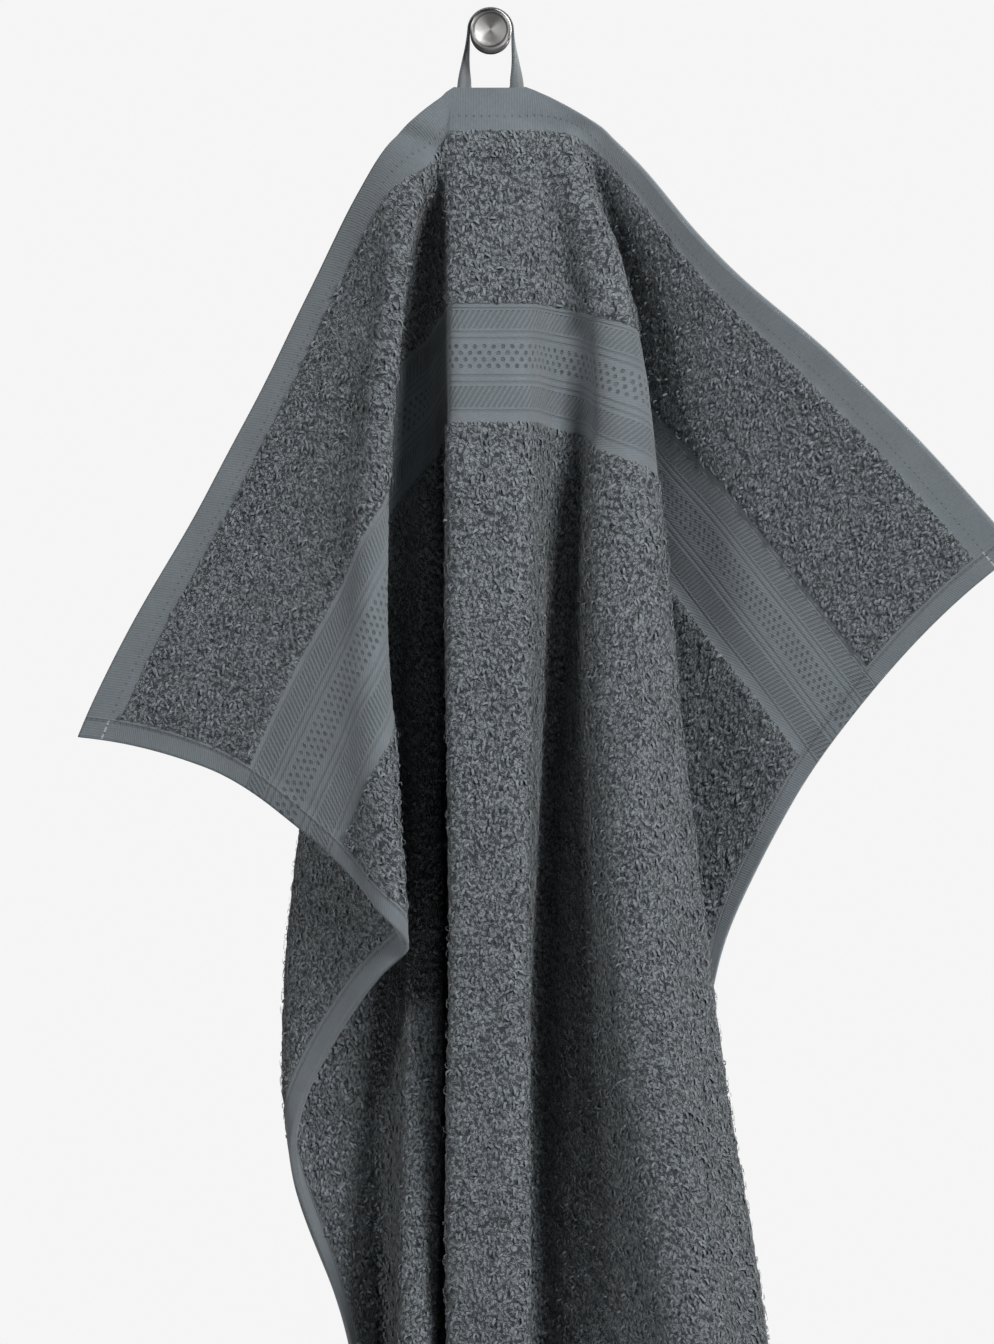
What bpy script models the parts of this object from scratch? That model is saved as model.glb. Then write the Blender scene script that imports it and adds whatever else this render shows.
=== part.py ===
# Hand towel hanging by its loop from a turned wall hook.
# Metres, +Z up, the front faces -Y. The origin is the middle of the hook's wall face.
import math

import bpy
import numpy as np

MM = 0.001

# Flat towel, in mm
HALF_WIDTH = 250.0
LENGTH = 1000.0
CLOTH = 2.5
PANEL = 11.7  # half the width that hangs flat between the feet of the loop
TOP_Y, TOP_Z = -32.0, -17.5  # the top hem under the loop

# Hook, in mm
HEAD_R, HEAD_FRONT, HEAD_BACK = 6.5, -39.0, -31.0
HEAD_CHAMFER, HEAD_DISH = 0.9, 0.5
STEM_R, FOOT_R, FOOT_T = 6.1, 6.4, 3.0
GAP = 0.3

# Loop tape, in mm
TAPE_WIDTH, TAPE_T = 8.0, 0.9
LEG_TOP_X, LEG_MID_X, LEG_FOOT_X = STEM_R + GAP + TAPE_T / 2, 8.0, 6.2
LEG_FOOT_Z = -27.0
TAPE_FRONT_Y = TOP_Y + CLOTH / 2 + 0.4

# Folds: each row is one fold line of the cloth on one side of the flat panel.
# flat: its angle on the flat cloth from straight down, about the loop's foot, in degrees
# reach: how far out on the flat cloth it ends up, in mm
# soft: half the width of its rounding, in mm
# taut: the share of its length that hangs straight
# out and deep: its place sideways and away from the wall, in mm, at each distance in STATIONS
STATIONS = (26, 46, 80, 150, 240, 330, 420, 700, 1030)
FREE = 900.0
LEAST_SOFT = 4.0  # a fold is at least this round, also where it starts by the loop, in mm
FULLNESS = 0.42  # how far a sharp fold swells into a drop shape, as a share of its rounding
COLUMNS = ("name", "flat", "reach", "soft", "taut", "out", "deep")
LEFT = (
    ("edge", 90, FREE, 12, 1.00,
     (31, 41, 56, 88, 130, 150, 165, 190, 200), (31, 27, 22, 14, 8, 8, 10, 12, 14)),
    ("brow", 74, FREE, 14, 0.93,
     (27, 34, 43, 60, 77, 84, 90, 100, 110), (32, 35, 31, 29, 27, 28, 30, 28, 28)),
    ("tip", 66, FREE, 12, 0.955,
     (22, 28, 34, 43, 48, 40, 40, 60, 80), (34, 42, 40, 43, 46, 46, 44, 38, 36)),
    ("wing", 60, FREE, 8, 0.99,
     (19, 24, 29, 32, 27, 23, 30, 50, 60), (36, 45, 47, 54, 60, 54, 48, 40, 40)),
    ("shade", 48, 270, 11, 1.00,
     (18, 25, 32, 46, 61, 66, 44, 66, 82), (32, 26, 21, 15, 10, 12, 20, 24, 26)),
    ("back", 38, 202, 9, 1.00,
     (16, 20, 22, 27, 31, 31, 32, 42, 54), (31, 19, 10, 7, 6, 6, 6, 6, 7)),
    ("ridge", 29, 130, 9, 1.00,
     (15, 17, 18, 19, 20, 22, 24, 32, 40), (31, 22, 19, 20, 23, 44, 58, 62, 60)),
    ("deep", 18, 64, 8, 1.00,
     (14, 14, 14, 12, 11, 9, 9, 16, 22), (32, 27, 25, 9, 5, 4, 4, 4, 5)),
    ("panel", 0, FREE, 3, 1.00,
     (11.9, 12, 12, 12, 12, 12, 12, 13, 15), (34, 37, 42, 50, 56, 59, 60, 61, 60)),
)
RIGHT = (
    ("panel", 0, FREE, 4, 1.00,
     (11.8, 11.6, 11.4, 11, 10.6, 10.5, 10.5, 12, 15), (34, 37, 42, 51, 59, 63, 64, 64, 62)),
    ("deep", 15, 70, 9, 1.00,
     (17, 21, 24, 22, 14, 10.5, 10.5, 16, 20), (32, 31, 27, 17, 7, 5, 4, 4, 5)),
    ("crest", 28, 152, 11, 1.00,
     (23, 29, 34, 36, 42, 52, 66, 86, 96), (35, 40, 44, 52, 60, 64, 65, 64, 62)),
    ("lip", 36, 190, 8, 1.00,
     (26, 35, 46, 55, 63, 75, 89, 98, 108), (34, 36, 39, 44, 47, 47, 47, 46, 46)),
    ("back", 47, 246, 9, 1.00,
     (28, 32, 38, 44, 51, 58, 66, 82, 92), (31, 24, 11, 7, 6, 5, 5, 5, 6)),
    ("wing", 55, FREE, 10, 0.96,
     (29, 37, 45, 58, 68, 78, 84, 100, 104), (31, 27, 19, 15, 14, 10, 10, 12, 12)),
    ("brow", 66, FREE, 12, 0.905,
     (30, 40, 53, 75, 96, 110, 114, 120, 120), (32, 32, 31, 31, 30, 24, 20, 20, 20)),
    ("edge", 90, FREE, 14, 0.90,
     (32, 45, 64, 110, 165, 212, 240, 260, 280), (33, 36, 42, 52, 62, 62, 60, 60, 60)),
)

# Mesh of the cloth
# Each row's distance from the loop's foot, in mm, and which of its columns it has: every 5th or all
ROWS = ((8, 5), (15, 5), (22, 5), (30, 1), (38, 1), *((r, 1) for r in (
    47, 57, 69, 83, 99, 116, 134, 153, 173, 194, 216, 238.3, 256, 274, 292, 312, 334, 358, 386,
    420, 460, 505, 550, 600, 650, 700, 750, 800, 850, 900, 950, 1000)))
NEAR, BESIDE = 0.28, 0.8  # how far from a fold its next two points lie, as shares of its rounding
SNAP = 0.8  # a point this near to a side edge is moved onto it, in mm
STRAIGHT_FROM = 420.0  # below this distance the rows turn from arcs into lines across the cloth
PANEL_CELLS = 4


def through(stations, values, x):
    """A smooth curve through a few values."""
    s, y = np.asarray(stations, float), np.asarray(values, float)
    step = np.diff(s)
    rise = np.diff(y) / step
    tilt = np.empty_like(y)
    tilt[1:-1] = (rise[:-1] * step[1:] + rise[1:] * step[:-1]) / (step[1:] + step[:-1])
    tilt[0], tilt[-1] = rise[0], rise[-1]
    i = np.clip(np.searchsorted(s, x) - 1, 0, len(s) - 2)
    t = (x - s[i]) / step[i]
    return ((1 + 2 * t) * (1 - t) ** 2 * y[i] + t * (1 - t) ** 2 * step[i] * tilt[i]
            + t * t * (3 - 2 * t) * y[i + 1] + t * t * (t - 1) * step[i] * tilt[i + 1])


DISTANCE = np.arange(0.0, 1041.0)  # distance from the loop's foot along the cloth, in mm


def fold_line(side, row):
    """The fold's rounding, its place on the flat cloth and its place in the air, at each distance."""
    fold = dict(zip(COLUMNS, row))
    x = side * through((0, *STATIONS), (PANEL, *fold["out"]), DISTANCE)
    y = -through((0, *STATIONS), (-TOP_Y, *fold["deep"]), DISTANCE)
    fall = np.sqrt(np.maximum(fold["taut"] ** 2 - np.gradient(x) ** 2 - np.gradient(y) ** 2, 0.02))
    z = TOP_Z - np.concatenate([[0], np.cumsum((fall[1:] + fall[:-1]) / 2)])
    offset = DISTANCE * math.sin(math.radians(fold["flat"]))
    if fold["reach"] < FREE:
        offset /= (1 + (offset / fold["reach"]) ** 6) ** (1 / 6)
    angle = np.arcsin(np.clip(offset[1:] / DISTANCE[1:], 0, 1))
    angle = np.concatenate([angle[:1], angle])
    return fold["soft"], side * (PANEL + DISTANCE * angle), np.stack([x, y, z])


FOLDS = [fold_line(-1, row) for row in LEFT] + [fold_line(1, row) for row in RIGHT]
ALONG = np.stack([fold[1] for fold in FOLDS])
PLACE = np.stack([fold[2] for fold in FOLDS])


def at_distance(r):
    """Every fold's place along the row at this distance from the loop's foot, flat and in the air."""
    i = np.minimum(r.astype(int), len(DISTANCE) - 2)
    t = r - i
    return (ALONG[:, i] * (1 - t) + ALONG[:, i + 1] * t,
            PLACE[:, :, i] * (1 - t) + PLACE[:, :, i + 1] * t)


def hang(u, v):
    """The place in the air, in mm, of the point u across and v down the flat cloth."""
    offset = np.maximum(np.abs(u) - PANEL, 0)
    r = np.clip(np.hypot(offset, v), 0.6, DISTANCE[-1] - 1)
    along = np.where(offset > 0, np.sign(u) * (PANEL + r * np.arctan2(offset, v)), u)
    knots, places = at_distance(r)
    width = np.maximum(np.diff(knots, axis=0), 1e-3)
    slope = np.diff(places, axis=0) / width[:, None]
    found = places[0] + slope[0] * (along - knots[0])
    for j in range(1, len(FOLDS) - 1):
        least = 0.5 * np.minimum(width[j - 1], width[j])
        soft = np.minimum(FOLDS[j][0], np.maximum(least, LEAST_SOFT))
        x = along - knots[j]
        bend = np.where(x < -soft, 0, np.where(x > soft, x, (x + soft) ** 2 / (4 * soft)))
        found = found + (slope[j] - slope[j - 1]) * bend
        # A fold turned back on itself swells into a drop shape, so that its two legs stay apart.
        before, after = slope[j - 1][:2], slope[j][:2]
        turn = before - after
        apart = np.stack([-turn[1], turn[0]]) / np.maximum(np.hypot(*turn), 1e-6)
        apart *= np.sign((apart * (before + after)).sum(axis=0))
        hairpin = 1 - np.hypot(*(before + after)) / np.maximum(np.hypot(*before) + np.hypot(*after), 1e-6)
        drop = FULLNESS * np.minimum(soft, least) * np.clip(hairpin, 0, 1)
        found[:2] += apart * drop * (x / soft) * np.exp(0.5 - 0.5 * (x / soft) ** 2)
    return found.T


def columns(side, r):
    """Angles about the loop's foot of a row's points: one on each fold and two more on each side of it."""
    knots = np.abs(at_distance(np.array([float(r)]))[0][:, 0]) - PANEL
    mine = [(k, fold[0]) for k, fold in zip(knots, FOLDS) if np.sign(fold[1][-1]) == side]
    mine = mine[::side]
    offsets = []
    for (start, soft), (end, next_soft) in zip(mine, mine[1:]):
        half = (end - start) / 2
        after, before = min(soft, half), min(next_soft, half)
        offsets += [start, start + NEAR * after, start + BESIDE * after,
                    end - BESIDE * before, end - NEAR * before]
    return np.array([*offsets, mine[-1][0]]) / r


def within_sides(polygon):
    """The part of a flat polygon that lies between the cloth's two side edges."""
    for side in (-1, 1):
        kept = []
        for (u, v), (next_u, next_v) in zip(polygon, polygon[1:] + polygon[:1]):
            over, next_over = side * u - HALF_WIDTH, side * next_u - HALF_WIDTH
            if over <= 0:
                kept.append((u, v))
            if over * next_over < 0:
                kept.append((side * HALF_WIDTH, v + (next_v - v) * over / (over - next_over)))
        polygon = kept
        if not polygon:
            break
    return polygon


def flat_grid():
    """Points and faces of the flat cloth: the panel, and on each side rows round the loop's foot."""
    index, points, faces = {}, [], []

    def face(polygon):
        corners = []
        for u, v in within_sides(polygon):
            key = (round(u, 3), round(v, 3))
            if key not in index:
                index[key] = len(points)
                points.append((u, v))
            if index[key] not in corners:
                corners.append(index[key])
        if len(corners) > 2:
            faces.append(corners)

    def strip(upper, lower):
        n = (len(lower) - 1) // (len(upper) - 1)
        for k in range(len(upper) - 1):
            face([upper[k], upper[k + 1], *lower[k * n:(k + 1) * n + 1][::-1]])

    panel_u = [PANEL * (2 * k / PANEL_CELLS - 1) for k in range(PANEL_CELLS + 1)]
    distances = [r for r, _ in ROWS]
    for upper, lower in zip([0.0, *distances], distances):
        strip([(u, upper) for u in panel_u], [(u, lower) for u in panel_u])
    for side in (-1, 1):
        foot, above = (side * PANEL, 0.0), None
        for r, every in ROWS:
            turn = max(0.0, (r - STRAIGHT_FROM) / (LENGTH - STRAIGHT_FROM))
            turn = turn * turn * (3 - 2 * turn)
            row = []
            for angle in columns(side, r)[::every]:
                u, v = PANEL + r * math.sin(angle), r * math.cos(angle)
                u = HALF_WIDTH if abs(u - HALF_WIDTH) < SNAP else u
                row.append((side * u, max(0.0, v + turn * (r - v))))
            row = row[::side]
            if above is None:
                for a, b in zip(row, row[1:]):
                    face([foot, b, a])
            else:
                strip(above, row)
            above = row
    return np.array(points), faces


def cloth_solid():
    flat, patches = flat_grid()
    u, v = flat.T
    d = 1.0
    inward = np.where(np.abs(u) > HALF_WIDTH - d, -np.sign(u) * d, d)
    across = (hang(u + inward, v) - hang(u, v)) * np.sign(inward)[:, None]
    down = hang(u, v + d) - hang(u, v)
    outward = np.cross(down, across)
    outward /= np.linalg.norm(outward, axis=1)[:, None]
    middle = hang(u, v)
    front, back = middle + outward * CLOTH / 2, middle - outward * CLOTH / 2
    count = len(flat)
    used = {(a, b) for patch in patches for a, b in zip(patch, patch[1:] + patch[:1])}
    rims = [(a, b) for a, b in sorted(used) if (b, a) not in used]
    faces = [patch[::-1] for patch in patches]
    faces += [[k + count for k in patch] for patch in patches]
    faces += [(a, b, b + count, a + count) for a, b in rims]
    return np.concatenate([front, back]), faces


def tape_solid():
    """The loop: up one leg, over the stem and down the other, turning to lie flat behind the hem."""
    foot = np.array([(-1, LEG_FOOT_X, LEG_FOOT_Z, 90), (-1, LEG_FOOT_X, -24.6, 90),
                     (-1, LEG_FOOT_X + 0.2, -22.6, 80), (-1, LEG_FOOT_X + 0.7, -20.8, 58),
                     (-1, LEG_MID_X, -18.8, 36), (-1, 8.1, -15.0, 26), (-1, 7.8, -10.0, 13),
                     (-1, 7.2, -4.5, 4), (-1, LEG_TOP_X, 0.0, 0)], float)
    path = [(side * x, z, -side * math.radians(turn)) for side, x, z, turn in foot]
    for k in range(1, 16):
        a = math.pi * (1 - k / 16)
        path.append((LEG_TOP_X * math.cos(a), LEG_TOP_X * math.sin(a), 0.0))
    path += [(-x, z, -turn) for x, z, turn in path[8::-1]]
    xz = np.array([(x, z) for x, z, _ in path])
    turns = np.array([turn for *_, turn in path])
    ahead = np.gradient(xz, axis=0)
    ahead /= np.linalg.norm(ahead, axis=1)[:, None]
    points, faces = [], []
    for (x, z), turn, (ax, az) in zip(xz, turns, ahead):
        side_x, side_z = az, -ax
        wide = np.array([side_x * math.sin(turn), math.cos(turn), side_z * math.sin(turn)])
        thick = np.cross(wide, (ax, 0, az))
        y = TAPE_FRONT_Y + TAPE_T / 2 * abs(math.sin(turn)) + TAPE_WIDTH / 2 * math.cos(turn)
        middle = np.array([x, y, z])
        for w, t in ((-1, -1), (1, -1), (1, 1), (-1, 1)):
            points.append(middle + wide * w * TAPE_WIDTH / 2 + thick * t * TAPE_T / 2)
    for k in range(len(path) - 1):
        for j in range(4):
            a, b = 4 * k + j, 4 * k + (j + 1) % 4
            faces.append((a, b, b + 4, a + 4))
    last = 4 * (len(path) - 1)
    faces += [(3, 2, 1, 0), (last, last + 1, last + 2, last + 3)]
    return np.array(points), faces


def turned(profile, steps=48):
    """A solid turned about the Y axis from (radius, y) points that start and end on the axis."""
    points, faces = [(0, profile[0][1], 0)], []
    rings = profile[1:-1]
    for radius, y in rings:
        for k in range(steps):
            a = 2 * math.pi * k / steps
            points.append((radius * math.cos(a), y, radius * math.sin(a)))
    points.append((0, profile[-1][1], 0))
    end = len(points) - 1
    for k in range(steps):
        n = (k + 1) % steps
        faces.append((0, 1 + k, 1 + n))
        for ring in range(len(rings) - 1):
            a = 1 + ring * steps
            faces.append((a + k, a + steps + k, a + steps + n, a + n))
        a = 1 + (len(rings) - 1) * steps
        faces.append((end, a + n, a + k))
    return np.array(points, float), faces


def material(name, colour, roughness, metallic=0.0):
    made = bpy.data.materials.new(name)
    made.use_nodes = True
    shader = made.node_tree.nodes["Principled BSDF"]
    shader.inputs["Base Color"].default_value = (*colour, 1)
    shader.inputs["Roughness"].default_value = roughness
    shader.inputs["Metallic"].default_value = metallic
    return made


def add(name, solid, look):
    points, faces = solid
    mesh = bpy.data.meshes.new(name)
    mesh.from_pydata([tuple(p * MM) for p in points], [], [tuple(int(k) for k in f) for f in faces])
    mesh.validate()
    made = bpy.data.objects.new(name, mesh)
    bpy.context.collection.objects.link(made)
    mesh.materials.append(look)
    signed = sum(
        np.dot(points[f[0]], np.cross(points[f[k]], points[f[k + 1]]))
        for f in faces for k in range(1, len(f) - 1)
    )
    if signed < 0:
        mesh.flip_normals()
    return made


for old in list(bpy.data.objects):
    bpy.data.objects.remove(old, do_unlink=True)

add("towel", cloth_solid(), material("towel_cloth", (0.13, 0.15, 0.165), 0.95))
add("hanging_loop", tape_solid(), material("loop_tape", (0.15, 0.17, 0.185), 0.9))
add("hook_knob", turned((
    (0, HEAD_FRONT + HEAD_DISH), (HEAD_R - HEAD_CHAMFER - 0.3, HEAD_FRONT + HEAD_DISH),
    (HEAD_R - HEAD_CHAMFER, HEAD_FRONT), (HEAD_R, HEAD_FRONT + HEAD_CHAMFER),
    (HEAD_R, HEAD_BACK), (0, HEAD_BACK),
)), material("hook_knob_steel", (0.6, 0.6, 0.6), 0.3, 1.0))
add("hook_stem", turned((
    (0, HEAD_BACK + GAP), (STEM_R, HEAD_BACK + GAP), (STEM_R, -FOOT_T),
    (FOOT_R, -FOOT_T), (FOOT_R, 0), (0, 0),
)), material("hook_stem_steel", (0.6, 0.6, 0.6), 0.35, 1.0))
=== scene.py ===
# %% [markdown]
# A hand towel hangs by its loop from a small turned hook. The whole towel is one cloth:
# looped terry, two flat woven borders, and flat hems folded over and stitched. The frame
# holds the plain solids of all of it, in metres, and each piece made here lies on one.

# %% Load the frame
import math

import bpy
import numpy as np
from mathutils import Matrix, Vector


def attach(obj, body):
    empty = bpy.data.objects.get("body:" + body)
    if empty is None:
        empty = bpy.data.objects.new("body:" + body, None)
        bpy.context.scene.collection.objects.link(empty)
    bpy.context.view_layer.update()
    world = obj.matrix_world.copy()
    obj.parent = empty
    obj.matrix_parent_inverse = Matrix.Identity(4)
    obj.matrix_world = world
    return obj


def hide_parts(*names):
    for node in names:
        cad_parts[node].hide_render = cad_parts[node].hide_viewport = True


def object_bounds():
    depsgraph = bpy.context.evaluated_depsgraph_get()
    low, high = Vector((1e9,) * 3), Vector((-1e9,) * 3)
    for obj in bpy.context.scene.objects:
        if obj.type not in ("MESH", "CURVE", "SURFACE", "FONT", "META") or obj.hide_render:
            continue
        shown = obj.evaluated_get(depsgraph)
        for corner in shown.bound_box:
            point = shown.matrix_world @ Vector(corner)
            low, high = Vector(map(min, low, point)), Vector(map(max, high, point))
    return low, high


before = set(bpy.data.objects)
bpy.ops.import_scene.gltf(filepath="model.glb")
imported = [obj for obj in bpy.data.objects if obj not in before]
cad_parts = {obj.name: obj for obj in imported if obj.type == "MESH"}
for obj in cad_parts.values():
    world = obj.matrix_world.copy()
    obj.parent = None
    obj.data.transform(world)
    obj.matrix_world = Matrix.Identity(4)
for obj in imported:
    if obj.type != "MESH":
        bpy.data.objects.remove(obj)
cad_box = [list(corner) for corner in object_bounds()]
MM = 0.001
print("frame box in mm:", [[round(x / MM) for x in corner] for corner in cad_box])

# %% [markdown]
# Shader maths reads best as ordinary expressions. A small class wraps a node's output, so
# that `1 - mask` or `a * b` adds the Math nodes, and one method makes every other node.

# %% A socket with operators


class Socket:
    """The output of a shader node, with Python's operators."""

    def __init__(self, tree, output):
        self.tree, self.output = tree, output

    def make(self, kind, settings=(), inputs=(), out=0):
        """A new node of this kind: its settings first, then its sockets' values or links."""
        made = self.tree.nodes.new(kind)
        for name, value in dict(settings).items():
            setattr(made, name, value)
        feed(made, dict(inputs))
        return Socket(self.tree, made.outputs[out])

    def maths(self, operation, *others):
        """A Math node on this and the others."""
        inputs = dict(enumerate((self, *others)))
        return self.make("ShaderNodeMath", {"operation": operation}, inputs)

    def __add__(self, other):
        return self.maths("ADD", other)

    def __sub__(self, other):
        return self.maths("SUBTRACT", other)

    def __rsub__(self, other):
        return self.make("ShaderNodeMath", {"operation": "SUBTRACT"}, {0: other, 1: self})

    def __mul__(self, other):
        return self.maths("MULTIPLY", other)

    def __truediv__(self, other):
        return self.maths("DIVIDE", other)

    def __mod__(self, other):
        return self.maths("FLOORED_MODULO", other)

    def __abs__(self):
        return self.maths("ABSOLUTE")

    __radd__, __rmul__ = __add__, __mul__

    def least(self, other):
        return self.maths("MINIMUM", other)

    def most(self, other):
        return self.maths("MAXIMUM", other)

    def sine(self, pitch):
        """A wave of this pitch, from -1 to 1."""
        return (self * (2 * math.pi / pitch)).maths("SINE")

    def rise(self, low, high, start=0.0, end=1.0):
        """From start to end as the value goes from low to high, smoothly."""
        return self.make(
            "ShaderNodeMapRange", {"interpolation_type": "SMOOTHSTEP"},
            {"Value": self, "From Min": low, "From Max": high, "To Min": start, "To Max": end})

    def between(self, low, high, soft):
        """1 between low and high, and 0 outside, over a soft edge."""
        return self.rise(low - soft, low) * self.rise(high, high + soft, 1.0, 0.0)

    def mix(self, first, second):
        """Colour first where this is 0, second where it is 1."""
        return self.make("ShaderNodeMix", {"data_type": "RGBA"}, {0: self, 6: first, 7: second}, 2)

    def part(self, axis):
        """One number of a vector: 0, 1 or 2."""
        return self.make("ShaderNodeSeparateXYZ", (), {0: self}, axis)

    def grain(self, scale, detail=2.0, rough=0.6, out=0):
        """Flat noise at this place, with so many cells to a unit."""
        return self.make(
            "ShaderNodeTexNoise", {"noise_dimensions": "2D"},
            {"Vector": self, "Scale": scale, "Detail": detail, "Roughness": rough}, out)

    def bump(self, strength, distance):
        """A normal that takes this as a height, in mm."""
        return self.make("ShaderNodeBump", (),
                         {"Strength": strength, "Distance": distance * MM, "Height": self})


def feed(node, inputs):
    """Gives sockets of a node their values or links."""
    for name, value in inputs.items():
        if isinstance(value, Socket):
            value.tree.links.new(value.output, node.inputs[name])
        else:
            node.inputs[name].default_value = value


def start_material(name):
    """A new material, its Principled shader and a socket to start from."""
    made = bpy.data.materials.new(name)
    made.use_nodes = True
    return made, made.node_tree.nodes["Principled BSDF"], Socket(made.node_tree, None)


def put_in_scene(name, data):
    made = bpy.data.objects.new(name, data)
    bpy.context.collection.objects.link(made)
    return made


print("socket methods ready:", sum(callable(value) for value in vars(Socket).values()))

# %% [markdown]
# The folds are the shape of the whole thing. A towel that hangs from one point fans out
# from its loop: each fold is a line across the flat cloth, straight out from the loop at
# first and then more and more downwards. A simulation would find some other set of
# folds, so each fold here is a row of a table, with the places that it passes in the air,
# and the cloth is stretched between one fold and the next with rounded turns. The rows
# are those of the solid, so that the fine cloth follows it.

# %% Sizes of the towel, in mm
HALF_WIDTH, LENGTH = 250.0, 1000.0
CLOTH = 2.5
PANEL = 11.7  # half the width that hangs flat between the feet of the loop
TOP_Y, TOP_Z = -32.0, -17.5
STATIONS = (26, 46, 80, 150, 240, 330, 420, 700, 1030)
FREE = 900.0
LEAST_SOFT = 4.0  # a fold is at least this round, also where it starts by the loop, in mm
FULLNESS = 0.42  # how far a sharp fold swells into a drop shape, as a share of its rounding
COLUMNS = ("name", "flat", "reach", "soft", "taut", "out", "deep")
LEFT = (
    ("edge", 90, FREE, 12, 1.00,
     (31, 41, 56, 88, 130, 150, 165, 190, 200), (31, 27, 22, 14, 8, 8, 10, 12, 14)),
    ("brow", 74, FREE, 14, 0.93,
     (27, 34, 43, 60, 77, 84, 90, 100, 110), (32, 35, 31, 29, 27, 28, 30, 28, 28)),
    ("tip", 66, FREE, 12, 0.955,
     (22, 28, 34, 43, 48, 40, 40, 60, 80), (34, 42, 40, 43, 46, 46, 44, 38, 36)),
    ("wing", 60, FREE, 8, 0.99,
     (19, 24, 29, 32, 27, 23, 30, 50, 60), (36, 45, 47, 54, 60, 54, 48, 40, 40)),
    ("shade", 48, 270, 11, 1.00,
     (18, 25, 32, 46, 61, 66, 44, 66, 82), (32, 26, 21, 15, 10, 12, 20, 24, 26)),
    ("back", 38, 202, 9, 1.00,
     (16, 20, 22, 27, 31, 31, 32, 42, 54), (31, 19, 10, 7, 6, 6, 6, 6, 7)),
    ("ridge", 29, 130, 9, 1.00,
     (15, 17, 18, 19, 20, 22, 24, 32, 40), (31, 22, 19, 20, 23, 44, 58, 62, 60)),
    ("deep", 18, 64, 8, 1.00,
     (14, 14, 14, 12, 11, 9, 9, 16, 22), (32, 27, 25, 9, 5, 4, 4, 4, 5)),
    ("panel", 0, FREE, 3, 1.00,
     (11.9, 12, 12, 12, 12, 12, 12, 13, 15), (34, 37, 42, 50, 56, 59, 60, 61, 60)),
)
RIGHT = (
    ("panel", 0, FREE, 4, 1.00,
     (11.8, 11.6, 11.4, 11, 10.6, 10.5, 10.5, 12, 15), (34, 37, 42, 51, 59, 63, 64, 64, 62)),
    ("deep", 15, 70, 9, 1.00,
     (17, 21, 24, 22, 14, 10.5, 10.5, 16, 20), (32, 31, 27, 17, 7, 5, 4, 4, 5)),
    ("crest", 28, 152, 11, 1.00,
     (23, 29, 34, 36, 42, 52, 66, 86, 96), (35, 40, 44, 52, 60, 64, 65, 64, 62)),
    ("lip", 36, 190, 8, 1.00,
     (26, 35, 46, 55, 63, 75, 89, 98, 108), (34, 36, 39, 44, 47, 47, 47, 46, 46)),
    ("back", 47, 246, 9, 1.00,
     (28, 32, 38, 44, 51, 58, 66, 82, 92), (31, 24, 11, 7, 6, 5, 5, 5, 6)),
    ("wing", 55, FREE, 10, 0.96,
     (29, 37, 45, 58, 68, 78, 84, 100, 104), (31, 27, 19, 15, 14, 10, 10, 12, 12)),
    ("brow", 66, FREE, 12, 0.905,
     (30, 40, 53, 75, 96, 110, 114, 120, 120), (32, 32, 31, 31, 30, 24, 20, 20, 20)),
    ("edge", 90, FREE, 14, 0.90,
     (32, 45, 64, 110, 165, 212, 240, 260, 280), (33, 36, 42, 52, 62, 62, 60, 60, 60)),
)
print("folds:", len(LEFT), "left and", len(RIGHT), "right")

# %% Where a point of the flat cloth hangs


def through(stations, values, x):
    """A smooth curve through a few values."""
    s, y = np.asarray(stations, float), np.asarray(values, float)
    step = np.diff(s)
    rise = np.diff(y) / step
    tilt = np.empty_like(y)
    tilt[1:-1] = (rise[:-1] * step[1:] + rise[1:] * step[:-1]) / (step[1:] + step[:-1])
    tilt[0], tilt[-1] = rise[0], rise[-1]
    i = np.clip(np.searchsorted(s, x) - 1, 0, len(s) - 2)
    t = (x - s[i]) / step[i]
    return ((1 + 2 * t) * (1 - t) ** 2 * y[i] + t * (1 - t) ** 2 * step[i] * tilt[i]
            + t * t * (3 - 2 * t) * y[i + 1] + t * t * (t - 1) * step[i] * tilt[i + 1])


DISTANCE = np.arange(0.0, 1041.0)


def fold_line(side, row):
    """The fold's rounding, and its places on the flat cloth and in the air at each distance."""
    fold = dict(zip(COLUMNS, row))
    x = side * through((0, *STATIONS), (PANEL, *fold["out"]), DISTANCE)
    y = -through((0, *STATIONS), (-TOP_Y, *fold["deep"]), DISTANCE)
    fall = np.sqrt(np.maximum(fold["taut"] ** 2 - np.gradient(x) ** 2 - np.gradient(y) ** 2, 0.02))
    z = TOP_Z - np.concatenate([[0], np.cumsum((fall[1:] + fall[:-1]) / 2)])
    offset = DISTANCE * math.sin(math.radians(fold["flat"]))
    if fold["reach"] < FREE:
        offset /= (1 + (offset / fold["reach"]) ** 6) ** (1 / 6)
    angle = np.arcsin(np.clip(offset[1:] / DISTANCE[1:], 0, 1))
    angle = np.concatenate([angle[:1], angle])
    return fold["soft"], side * (PANEL + DISTANCE * angle), np.stack([x, y, z])


FOLDS = [fold_line(-1, row) for row in LEFT] + [fold_line(1, row) for row in RIGHT]
ALONG = np.stack([fold[1] for fold in FOLDS])
PLACE = np.stack([fold[2] for fold in FOLDS])


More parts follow.
